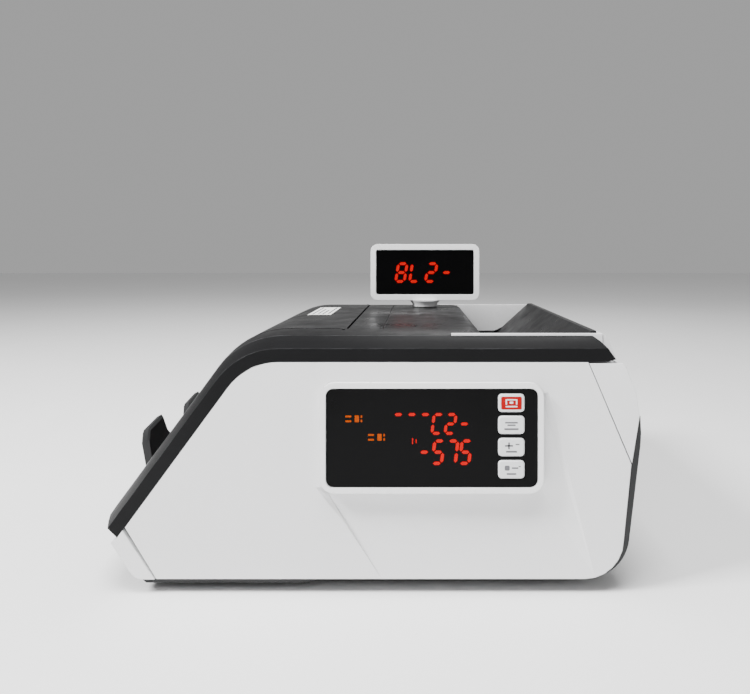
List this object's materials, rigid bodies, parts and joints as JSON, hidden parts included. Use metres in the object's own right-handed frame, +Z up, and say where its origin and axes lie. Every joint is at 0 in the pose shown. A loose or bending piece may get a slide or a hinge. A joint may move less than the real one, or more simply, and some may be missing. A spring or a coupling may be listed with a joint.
{
  "type": "banknote counter",
  "caption": "Desktop banknote counter with a rear hopper, sloped front stacker, flip-up lid, operator control panel on one side and a swivelling customer display",
  "frame": {"origin": "centre of the machine's box, on the table", "axes": "+X from the stacker at the front to the hopper at the rear, +Y from the operator's side to the customer's side, +Z up"},
  "size_m": [0.314, 0.249, 0.2022],
  "materials": {
    "casing_white": "fine satin moulded",
    "gloss_black": "glossy moulded",
    "black_plastic": "satin moulded",
    "smoked_window": "polished, opaque until lit",
    "button_white": "satin moulded",
    "button_red": "satin moulded",
    "led_red": "seven-segment display module",
    "roller_rubber": "ground rubber",
    "steel": "ground bar",
    "zinc_plate": "zinc-plated sheet",
    "circuit_green": "solder mask",
    "white_plastic": "moulded acetal",
    "copper_iron": "laminated core with a taped winding",
    "belt_rubber": "flat rubber belt"
  },
  "bodies": {
    "casing": {"base_tray": "black_plastic", "display_bezel": "casing_white", "display_board": "circuit_green", "display_window": "smoked_window", "feed_plate": "gloss_black", "foot_front_customer": "roller_rubber", "foot_front_operator": "roller_rubber", "foot_rear_customer": "roller_rubber", "foot_rear_operator": "roller_rubber", "frame_plate_customer": "zinc_plate", "frame_plate_operator": "zinc_plate", "front_cap": "casing_white", "hopper_surround": "casing_white", "impeller_belt": "belt_rubber", "impeller_motor": "zinc_plate", "led_module": "led_red", "main_belt": "belt_rubber", "main_board": "circuit_green", "main_motor": "zinc_plate", "note_detector": "black_plastic", "power_inlet": "black_plastic", "rear_cover": "black_plastic", "rear_upper_cover": "casing_white", "retard_pad": "roller_rubber", "side_panel_customer": "casing_white", "side_panel_operator": "casing_white", "stacker_chute": "black_plastic", "stop_plate_customer": "black_plastic", "stop_plate_operator": "black_plastic", "switch_frame": "black_plastic", "tie_rod_front": "steel", "tie_rod_rear": "steel", "transformer": "copper_iron", "trim_rail_customer": "gloss_black", "trim_rail_operator": "gloss_black", "upper_cover": "gloss_black"},
    "lid": {"lid": "gloss_black"},
    "pressure_roller_rear": {"pressure_roller_rear": "roller_rubber"},
    "pressure_roller_front": {"pressure_roller_front": "roller_rubber"},
    "customer_display": {"head_shell": "casing_white", "head_window": "smoked_window", "head_board": "circuit_green", "head_stem": "casing_white"},
    "button_1": {"button_1": "button_red"},
    "button_2": {"button_2": "button_white"},
    "button_3": {"button_3": "button_white"},
    "button_4": {"button_4": "button_white"},
    "power_switch": {"power_switch": "button_red"},
    "main_drive": {"main_motor_pulley": "white_plastic"},
    "pickup_drive": {"pickup_shaft": "steel", "pickup_roller": "roller_rubber"},
    "feed_drive": {"feed_shaft": "steel", "feed_roller": "roller_rubber"},
    "transport_drive": {"transport_shaft": "steel", "transport_roller": "roller_rubber"},
    "impeller_motor_drive": {"impeller_motor_pulley": "white_plastic"},
    "impeller_drive": {"impeller_shaft": "steel", "impeller_operator": "roller_rubber", "impeller_customer": "roller_rubber"}
  },
  "joints": [
    {"name": "lid_hinge", "type": "hinge", "parent": "casing", "child": "lid", "pos_m": [-0.016, 0.002, 0.1462], "axis": [0, 1, 0], "range_deg": [0, 75]},
    {"name": "pressure_roller_rear_spin", "type": "hinge", "parent": "lid", "child": "pressure_roller_rear", "pos_m": [-0.024, 0.002, 0.1252], "axis": [0, 1, 0], "continuous": true},
    {"name": "pressure_roller_front_spin", "type": "hinge", "parent": "lid", "child": "pressure_roller_front", "pos_m": [-0.054, 0.002, 0.121], "axis": [0, 1, 0], "continuous": true},
    {"name": "display_swivel", "type": "hinge", "parent": "casing", "child": "customer_display", "pos_m": [0.036, 0.07, 0.1481], "axis": [0, 0, 1], "range_deg": [-90, 90]},
    {"name": "power_rocker", "type": "hinge", "parent": "casing", "child": "power_switch", "pos_m": [0.15181, 0.022, 0.044], "axis": [0.1184, 0, 0.993], "range_deg": [0, 16]},
    {"name": "main_motor_spin", "type": "hinge", "parent": "casing", "child": "main_drive", "pos_m": [0.022, 0.002, 0.046], "axis": [0, 1, 0], "continuous": true},
    {"name": "pickup_spin", "type": "hinge", "parent": "casing", "child": "pickup_drive", "pos_m": [0.084, 0.002, 0.097], "axis": [0, 1, 0], "continuous": true},
    {"name": "feed_spin", "type": "hinge", "parent": "casing", "child": "feed_drive", "pos_m": [0.046, 0.002, 0.101], "axis": [0, 1, 0], "continuous": true},
    {"name": "transport_spin", "type": "hinge", "parent": "casing", "child": "transport_drive", "pos_m": [-0.024, 0.002, 0.1025], "axis": [0, 1, 0], "continuous": true},
    {"name": "impeller_motor_spin", "type": "hinge", "parent": "casing", "child": "impeller_motor_drive", "pos_m": [-0.046, 0.002, 0.044], "axis": [0, 1, 0], "continuous": true},
    {"name": "impeller_spin", "type": "hinge", "parent": "casing", "child": "impeller_drive", "pos_m": [-0.082, 0.002, 0.08], "axis": [0, 1, 0], "continuous": true},
    {"name": "button_1_press", "type": "slide", "parent": "casing", "child": "button_1", "axis": [0, 1, 0], "range_m": [0, 0.0008], "stiffness_N_per_m": 400},
    {"name": "button_2_press", "type": "slide", "parent": "casing", "child": "button_2", "axis": [0, 1, 0], "range_m": [0, 0.0008], "stiffness_N_per_m": 400},
    {"name": "button_3_press", "type": "slide", "parent": "casing", "child": "button_3", "axis": [0, 1, 0], "range_m": [0, 0.0008], "stiffness_N_per_m": 400},
    {"name": "button_4_press", "type": "slide", "parent": "casing", "child": "button_4", "axis": [0, 1, 0], "range_m": [0, 0.0008], "stiffness_N_per_m": 400}
  ],
  "couplings": [
    {"joint": "pickup_spin", "follows": "main_motor_spin", "ratio": 0.8},
    {"joint": "feed_spin", "follows": "main_motor_spin", "ratio": 0.66667},
    {"joint": "transport_spin", "follows": "main_motor_spin", "ratio": 0.66667},
    {"joint": "impeller_motor_spin", "follows": "impeller_spin", "ratio": 1.5}
  ]
}
